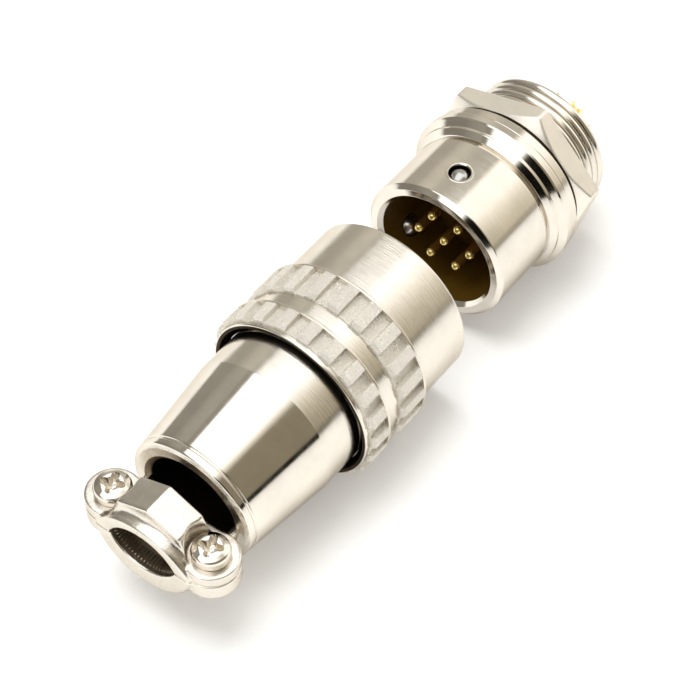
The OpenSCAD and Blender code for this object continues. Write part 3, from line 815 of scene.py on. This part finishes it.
class CONNECTOR_OT_coupling_sleeve(bpy.types.Operator):
    """Sleeve with two notched grip bands"""
    bl_idname = "connector.coupling_sleeve"
    bl_label = "Coupling sleeve"

    def execute(self, context):
        sizes = context.scene.connector_sizes
        bands = ((-18.9, -15.1), (-23.6, -20.9))
        lip = 0.30  # smooth ring at the front of each band

        # Painted shade: a near-black wall inside the sleeve's rear
        def pick(s, r):
            if r < 9.2:
                return 2 if s > -11 else 3
            return int(any(lo - 0.02 < s < hi - lip for lo, hi in bands) and r < 9.6)
        sleeve = turned("sleeve", [
            (-7.5, 8.75, 0.06), (-7.5, 9.28, 0.32), (-15.1, 9.28, 0.05), (-15.1, 10.0, 0.11), (-15.45, 10.0, 0.05),
            (-15.45, 9.40, 0.03), (-18.52, 9.40), (-18.54, 9.48, 0.03), (-18.9, 9.48, 0.05), (-18.9, 9.34, 0.03),
            (-20.9, 9.34, 0.05), (-20.9, 10.0, 0.11), (-21.25, 10.0, 0.05), (-21.25, 9.40, 0.03), (-23.22, 9.40),
            (-23.24, 9.48, 0.03), (-23.6, 9.48, 0.05), (-23.6, 9.34, 0.03), (-24.1, 9.34, 0.14), (-24.1, 8.85, 0.05),
            (-17.75, 8.85), (-17.75, 6.7), (-16.75, 6.7), (-16.75, 8.5), (-10.6, 8.5), (-10.4, 8.75)],
            ["nickel_brushed", "nickel_blasted", "nickel", "inner_wall"], sizes.steps, pick=pick)
        step = 2 * math.pi / sizes.lands
        parts = [sleeve]
        for lo, hi in bands:
            land = self.land("land", lo, hi - lip, step / 2, sizes.land_edge / MM)
            grow(land, ring_tree(), count=sizes.lands, step=step, first=math.pi / 2 + step / 2, axis_height=AXIS_Z,
                 finish=FINISH["nickel_blasted"])
            soften(land.data, 40)
            parts.append(land)
        settle(fuse("coupling_sleeve_dressed", parts), "sleeve", "nickel_grip", "coupling_sleeve")
        return {"FINISHED"}

    def land(self, name, x0, x1, width, edge):
        """One raised land about the axis line, with softened edges."""
        bm = bmesh.new()
        top, foot, e = 10.0, 9.2, edge
        half = width / 2
        across = []
        for inset, low in ((0.0, top - foot), (0.0, e), (0.12 * e, 0.5 * e), (0.5 * e, 0.12 * e), (e, 0.0)):
            across.append((-half + inset / top, low))
        across += [(half * (-0.6 + 0.3 * k), 0.0) for k in range(5)]
        across += [(-a, low) for a, low in reversed(across[:5])]
        # The rear end is bevelled, and the front runs into the lip
        along = [(x0, top - foot), (x0, 0.36), (x0 + 0.03, 0.32), (x0 + 0.31, 0.06), (x0 + 0.38, 0.015),
                 (x0 + 0.46, 0.0), (x0 + 0.7, 0.0), ((x0 + x1) / 2, 0.0), (x1 - e, 0.0), (x1, 0.0)]
        grid = []
        for x, lx in along:
            row = []
            for a, la in across:
                r = top - max(lx, la) - 0.35 * min(lx, la) * (1 if max(lx, la) < e else 0)
                p = at(x, max(r, foot), a)
                p.z -= AXIS_Z
                row.append(bm.verts.new(p))
            grid.append(row)
        for i in range(len(grid) - 1):
            for j in range(len(across) - 1):
                bm.faces.new((grid[i][j], grid[i][j + 1], grid[i + 1][j + 1], grid[i + 1][j]))
        bmesh.ops.remove_doubles(bm, verts=bm.verts, dist=1e-7)
        bmesh.ops.holes_fill(bm, edges=[e for e in bm.edges if e.is_boundary], sides=0)
        return piece(name, bm, ["nickel_blasted"], 40)


def lens(a, width, high):
    """Radius at angle a of a flattened oval made of two arcs."""
    r = (width * width / 4 + high * high) / (2 * high)
    return math.sqrt(r * r - ((r - high) * math.cos(a)) ** 2) - (r - high) * abs(math.sin(a))


def collar(a):
    """Rear collar of the clamp, deeper below the seam."""
    return lens(a, 11.7, 3.6 if math.sin(a) >= 0 else 5.0)


def eight_sided(a):
    """Roof of the clamp with a corner at the top."""
    return 5.25 * math.cos(math.pi / 8) / math.cos((a - math.pi / 2) % (math.pi / 4) - math.pi / 8)


def loft(name, rows, steps):
    """Closed body about the axis through rows of (station, radius at an angle)."""
    bm = bmesh.new()
    rings = [[bm.verts.new(at(s, f(2 * math.pi * k / steps), 2 * math.pi * k / steps)) for k in range(steps)]
             for s, f in rows]
    skin(bm, rings)
    for ring, s in ((rings[0], rows[0][0]), (rings[-1], rows[-1][0])):
        middle = bm.verts.new(at(s, 0, 0))
        for k in range(steps):
            bm.faces.new((ring[k], ring[(k + 1) % steps], middle))
    return piece(name, bm, ["nickel"])


def inset(form, *ends):
    """Rows of a form that is set in by (station, inset)."""
    return [(s, lambda a, d=d: form(a) - d) for s, d in ends]


def add_ears(body, z0, z1, low_round, top_round):
    """Joins the two round ears and the bridge between them to a clamp half."""
    for y in (-SCREW_Y, SCREW_Y):
        carve(body, ("UNION", upright("ear", [(z0, 0), (z0, 2.8, low_round), (z1, 2.8, top_round), (z1, 0)],
                                      SCREW_S, y, 96)))
    carve(body, ("UNION", slab("bridge", -45.85, -40.6, -SCREW_Y, SCREW_Y, z0, z1)))


def lens_rod(name, side):
    """Cutter for the trough (-1) or arch (+1) that the cable lies in."""
    return turned(name, [(-48, 0), (-48, HOLE_R), (-36, HOLE_R), (-36, 0)], ["nickel"], 160,
                  spot=lambda s, r, a: off(s, r * math.cos(a), -side * HOLE_OFF + r * math.sin(a)))


class CONNECTOR_OT_back_shell(bpy.types.Operator):
    """Tapered back shell with the lower half of the cable clamp"""
    bl_idname = "connector.back_shell"
    bl_label = "Back shell"

    def execute(self, context):
        # Painted shade: a near-black wall inside the shell's neck
        def pick(s, r):
            if r < 6.4 and s > -38.75:
                return 1
            if s > -28.3:
                return 2
            if r < 5.65:
                return 3
            return 4 if s < -39.1 else 0
        shell = turned("taper", [
            (-23.5, 6.95), (-23.5, 8.06, 0.08), (-23.7, 8.25, 0.10), (-28.4, 8.25, 0.12), (-38.0, 7.21, 0.10),
            (-38.08, 7.08, 0.04), (-38.26, 7.08, 0.04), (-38.36, 7.17, 0.10), (-39.0, 7.10, 0.30), (-39.2, 6.55, 0.12),
            (-39.2, 5.60, 0.10), (-38.8, 5.05, 0.10), (-36.4, 5.05), (-32.4, 6.3), (-29.05, 6.3), (-29.05, 6.95)],
            ["nickel", "inner_wall", "nickel_brushed", "nickel_worn", "nickel_cast"],
            context.scene.connector_sizes.steps, pick=pick)
        # The collar flows into a round tongue, which flares into the shell
        rows = inset(collar, (CLAMP_END, 0.5), (-46.36, 0.3), (-46.25, 0.12), (-46.05, 0.03), (-45.75, 0.0))
        tongue_r, flow = 5.25, 0.9
        for k in range(1, 9):
            rows.append((-45.75 + flow * k / 8,
                         lambda a, u=k / 8: collar(a) + (tongue_r - collar(a)) * u * u * (3 - 2 * u)))
        rows += [(s, lambda a, r=r: r) for s, r in ((-41.2, tongue_r), (-40.0, 5.4), (-39.3, 5.6), (-38.7, 5.6))]
        tongue = loft("tongue", rows, 160)
        add_ears(tongue, -2.2, 0.0, 0.55, 0.05)
        carve(tongue, ("DIFFERENCE", turned("neck", [(-42.1, 0), (-42.1, 4.9), (-36.0, 4.9), (-36.0, 0)],
                                            ["nickel"], 144)),
              ("DIFFERENCE", slab("upper", -50, -35, -12, 12, 0, 12)),
              ("DIFFERENCE", lens_rod("trough", -1)))
        cast(tongue, -1)
        settle(fuse("back_shell_dressed", [shell, tongue]), "plug", "nickel", "back_shell")
        return {"FINISHED"}


class CONNECTOR_OT_cable_clamp(bpy.types.Operator):
    """Upper clamp half and the ribs in the cable hole"""
    bl_idname = "connector.cable_clamp"
    bl_label = "Cable clamp"

    def execute(self, context):
        # The collar swells into the eight-sided roof
        rows = inset(collar, (CLAMP_END, 0.34), (-46.36, 0.2), (-46.28, 0.07), (-46.15, 0.0), (-45.7, 0.0))
        swell = 0.62
        for k in range(1, 8):
            u = math.pi / 2 * k / 7
            rows.append((-45.7 + swell * math.sin(u),
                         lambda a, w=1 - math.cos(u): collar(a) + (eight_sided(a) - 0.1 - collar(a)) * w))
        rows += inset(eight_sided, (-45.04, 0.03), (-44.98, 0.0), (-41.62, 0.0), (-41.54, 0.03), (-41.5, 0.1))
        saddle = loft("saddle", rows, 192)
        seam = 0.05
        add_ears(saddle, seam, SEAT_H, 0.05, 0.12)
        steps = [("DIFFERENCE", slab("lower", -50, -35, -12, 12, -12, seam)), ("DIFFERENCE", lens_rod("arch", 1))]
        for y in (-SCREW_Y, SCREW_Y):
            scallop = upright("scallop", [(SEAT_H, 0), (SEAT_H, 2.35), (9, 2.35), (9, 0)], SCREW_S, y, 96)
            steps.append(("DIFFERENCE", scallop))
        carve(saddle, *steps)
        cast(saddle, 1)
        settle(fuse("clamp_saddle_dressed", [saddle]), "plug", "nickel", "clamp_saddle")
        teeth = []
        for name, side, first in (("lower_teeth", 1, 210), ("upper_teeth", -1, 30)):
            teeth.append(grow(self.tooth(name), ring_tree(), count=25, step=context.scene.connector_sizes.tooth_step,
                              first=math.radians(first), axis_height=AXIS_Z + side * HOLE_OFF * MM,
                              finish=FINISH["nickel_worn"]))
        ribs = fuse("cable_ribs", teeth)
        soften(ribs.data, 30)
        settle(ribs, "plug", "nickel")
        return {"FINISHED"}

    def tooth(self, name):
        """One ridge along the cable on the wall of the hole, about the axis line."""
        bm = bmesh.new()
        rows = []
        for s, high in ((-45.80, 0.02), (-45.65, 0.14), (-44.7, 0.14), (-44.5, 0.02)):
            rows.append([bm.verts.new((NOSE_X + s * MM, (HOLE_R - d) * MM, y * MM))
                         for y, d in ((-0.15, -0.06), (-0.04, high), (0.04, high), (0.15, -0.06))])
        skin(bm, rows)
        bm.faces.new(rows[0])
        bm.faces.new(rows[-1])
        return piece(name, bm, ["nickel"])


class CONNECTOR_OT_clamp_screws(bpy.types.Operator):
    """Pan-head screws with cross recesses"""
    bl_idname = "connector.clamp_screws"
    bl_label = "Clamp screws"

    def execute(self, context):
        h = SEAT_H
        head = upright("clamp_screws", [(-2.2, 0), (-2.2, 0.9, 0.05), (-2.1, 1.0, 0.05), (h + 0.02, 1.0),
                                        (h + 0.02, 1.86, 0.08), (h + 0.72, 1.9, 0.12), (h + 1.10, 1.80, 0.35),
                                        (h + 1.42, 1.20, 0.6), (h + 1.45, 0)], SCREW_S, SCREW_Y, 96, 6)
        cutters = []
        angles = [2 * math.pi * k / 24 for k in range(24)]
        for t in (math.radians(20), math.radians(110)):
            bm = bmesh.new()
            rings = []
            for depth, length, width in ((0.42, 0.75, 0.22), (1.02, 1.15, 0.32), (1.6, 1.40, 0.40)):
                ring = []
                for u in angles:
                    x = math.copysign(length - width, math.cos(u)) + width * math.cos(u)
                    y = width * math.sin(u)
                    ring.append(bm.verts.new(off(SCREW_S + x * math.cos(t) - y * math.sin(t),
                                                 SCREW_Y + x * math.sin(t) + y * math.cos(t), h + depth)))
                rings.append(ring)
            skin(bm, rings)
            bm.faces.new(rings[0])
            bm.faces.new(rings[-1])
            cutters.append(("DIFFERENCE", piece("slot", bm, ["nickel"])))
        cutters.append(("DIFFERENCE", upright("dimple", [(h + 0.3, 0), (h + 0.75, 0.5), (h + 1.6, 0.74), (h + 1.6, 0)],
                                              SCREW_S, SCREW_Y, 48)))
        carve(head, *cutters)
        break_edges(head, 0.05, 2, 30)
        grow(head, row_tree(), count=2, offset=(0, -2 * SCREW_Y * MM, 0), finish=FINISH["nickel"])
        soften(head.data, 40)
        settle(head, "plug", "nickel", "clamp_screw_1", "clamp_screw_2")
        return {"FINISHED"}


# ---------------------------------------------------------------- stage

def surround(scene):
    """Soft studio world: a bright ceiling panel, a white side wall that fades away, warm greys lower down."""
    world = bpy.data.worlds.new("studio")
    scene.world = world
    world.use_nodes = True
    t = world.node_tree
    t.nodes.clear()
    times, step = partial(calc, t, "MULTIPLY"), partial(soft_step, t)
    coord, part, aim, grey, path = add(t, "ShaderNodeTexCoord", "ShaderNodeSeparateXYZ", "ShaderNodeVectorMath",
                                       "ShaderNodeMix", "ShaderNodeLightPath")
    soft, white, pick, out = add(t, "ShaderNodeBackground", "ShaderNodeBackground", "ShaderNodeMixShader",
                                 "ShaderNodeOutputWorld")
    wire(t, (coord, "Generated", part, 0), (coord, "Generated", aim, 0))
    x, y, z = part.outputs
    up = calc(t, "MAXIMUM", z, 0.02)
    u, w = calc(t, "DIVIDE", x, up), calc(t, "DIVIDE", y, up)
    turn = calc(t, "ARCTAN2", x, times(y, -1.0))

    def panel(edge):
        """Share of the ceiling panel, with its far edges moved out."""
        far = times(step(u, 0.70 + edge, 0.64 + edge), step(w, 0.68 + edge, 0.61 + edge))
        return times(far, step(w, -0.85, -0.32))
    ceiling, far_side = panel(0.0), step(y, -0.12, 0.12)
    wall = times(step(turn, math.radians(24), math.radians(54)), step(turn, math.radians(98), math.radians(80)))
    left = times(spread(t, x, 0.2, 0.56, 0.27, 0.52), step(w, 2.6, 1.0, 1.0, 1.4))
    left = times(left, spread(t, panel(0.22), 0.0, 1.0, 1.0, 0.78))
    right = calc(t, "ADD", WALL_FOOT, times(wall, WALL_LEVEL))
    for socket, value in ((0, far_side), (2, right), (3, left)):
        feed(t, grey.inputs[socket], value)
    low = times(times(step(z, 0.15, 0.08), step(y, 0.0, -0.2)), step(x, 0.30, 0.64, 0.97, 0.25))
    level = times(grey.outputs[0], calc(t, "SUBTRACT", 1.0, low))
    level = calc(t, "MAXIMUM", level, times(ceiling, PANEL_LEVEL))
    # Dark room behind the camera
    aim.operation = "DOT_PRODUCT"
    aim.inputs[1].default_value = ROOM_AIM
    level = times(level, step(aim.outputs["Value"], 0.965, 0.92, 0.02, 1.0))
    level = times(level, spread(t, path.outputs["Is Diffuse Ray"], 0.0, 1.0, 1.0, DIFFUSE_SHARE))
    tone = blend_colour(t, far_side, FRONT_TONE, FAR_TONE)
    tone = blend_colour(t, times(wall, 0.9), tone, WALL_TONE)
    tone = blend_colour(t, ceiling, tone, (1.0, 1.0, 1.0))
    feed(t, soft.inputs["Color"], tone)
    feed(t, soft.inputs["Strength"], level)
    feed(t, white.inputs["Color"], (1, 1, 1, 1))
    wire(t, (path, "Is Camera Ray", pick, "Fac"), (soft, 0, pick, 1), (white, 0, pick, 2), (pick, 0, out, "Surface"))


def pale_floor(scene, colour):
    """Floor that keeps the shadow, with a glow that the camera and the metal see alike."""
    bm = bmesh.new()
    bmesh.ops.create_grid(bm, x_segments=2, y_segments=2, size=2.0)
    mesh = bpy.data.meshes.new("floor")
    bm.to_mesh(mesh)
    bm.free()
    floor = bpy.data.objects.new("floor", mesh)
    floor.location.z = -0.03 * MM
    scene.collection.objects.link(floor)
    mat = bpy.data.materials.new("pale_floor")
    mat.use_nodes = True
    n = mat.node_tree
    paint = n.nodes["Principled BSDF"]
    for key, value in (("Base Color", (*colour, 1)), ("Roughness", 0.9), ("Specular IOR Level", 0.1)):
        paint.inputs[key].default_value = value
    glow, path, both = add(n, "ShaderNodeEmission", "ShaderNodeLightPath", "ShaderNodeAddShader")
    seen = path.outputs["Is Camera Ray"]
    for ray in ("Is Glossy Ray", "Is Transmission Ray"):
        seen = calc(n, "MAXIMUM", seen, path.outputs[ray])
    feed(n, glow.inputs["Strength"], calc(n, "MULTIPLY", seen, FLOOR_GLOW))
    wire(n, (paint, 0, both, 0), (glow, 0, both, 1), (both, 0, n.nodes["Material Output"], "Surface"))
    mesh.materials.append(mat)


def key_light(scene, power):
    """Soft key from above and a little behind."""
    lamp = bpy.data.lights.new("key", "AREA")
    lamp.shape, lamp.size, lamp.size_y, lamp.energy = "RECTANGLE", 0.30, 0.30, power
    key = bpy.data.objects.new("key", lamp)
    key.location = (-0.02, 0.10, 0.40)
    key.rotation_mode = "QUATERNION"
    key.rotation_quaternion = (-key.location).to_track_quat("-Z", "Y")
    key.visible_glossy = False
    scene.collection.objects.link(key)


def photo_camera(scene, stage):
    """Camera at its angle and distance from the target."""
    a, e = stage.azimuth, stage.elevation
    back = Vector((math.sin(a) * math.cos(e), -math.cos(a) * math.cos(e), math.sin(e)))
    data = bpy.data.cameras.new("camera")
    data.lens, data.sensor_width = stage.lens, 36
    data.clip_start, data.clip_end = 0.005, 20
    cam = bpy.data.objects.new("camera", data)
    cam.location = Vector(stage.target) + Vector((NOSE_X, 0, AXIS_Z)) + back * stage.distance
    cam.rotation_mode = "QUATERNION"
    cam.rotation_quaternion = (-back).to_track_quat("-Z", "Y")
    scene.collection.objects.link(cam)
    scene.camera = cam


class CONNECTOR_OT_stage(bpy.types.Operator):
    """Pale floor, soft studio light and camera"""
    bl_idname = "connector.stage"
    bl_label = "Stage"

    def execute(self, context):
        scene, stage = context.scene, context.scene.connector_stage
        scene.view_settings.view_transform = "Standard"
        surround(scene)
        pale_floor(scene, stage.floor)
        key_light(scene, stage.key)
        photo_camera(scene, stage)
        return {"FINISHED"}


STEPS = (CONNECTOR_OT_receptacle, CONNECTOR_OT_panel_parts, CONNECTOR_OT_contacts, CONNECTOR_OT_lock_balls,
         CONNECTOR_OT_inner_parts, CONNECTOR_OT_coupling_sleeve, CONNECTOR_OT_back_shell, CONNECTOR_OT_cable_clamp,
         CONNECTOR_OT_clamp_screws, CONNECTOR_OT_stage)


class CONNECTOR_PT_panel(bpy.types.Panel):
    """Lists the connector's pieces"""
    bl_label = "Push-pull connector"
    bl_idname = "CONNECTOR_PT_panel"
    bl_space_type = "VIEW_3D"
    bl_region_type = "UI"
    bl_category = "Connector"

    def draw(self, context):
        for step in STEPS:
            self.layout.operator(step.bl_idname)
        for group in (context.scene.connector_sizes, context.scene.connector_colours, context.scene.connector_stage):
            for key in group.__annotations__:
                self.layout.prop(group, key)


CLASSES = (ConnectorSizes, ConnectorColours, ConnectorStage, *STEPS, CONNECTOR_PT_panel)


def register():
    for c in CLASSES:
        bpy.utils.register_class(c)
    bpy.types.Scene.connector_sizes = PointerProperty(type=ConnectorSizes)
    bpy.types.Scene.connector_colours = PointerProperty(type=ConnectorColours)
    bpy.types.Scene.connector_stage = PointerProperty(type=ConnectorStage)


def unregister():
    for key in ("connector_stage", "connector_colours", "connector_sizes"):
        delattr(bpy.types.Scene, key)
    for c in reversed(CLASSES):
        bpy.utils.unregister_class(c)


def main():
    register()
    make_finishes(bpy.context.scene.connector_colours)
    for step in STEPS:
        group, name = step.bl_idname.split(".")
        getattr(getattr(bpy.ops, group), name)()


if __name__ == "__main__":
    main()
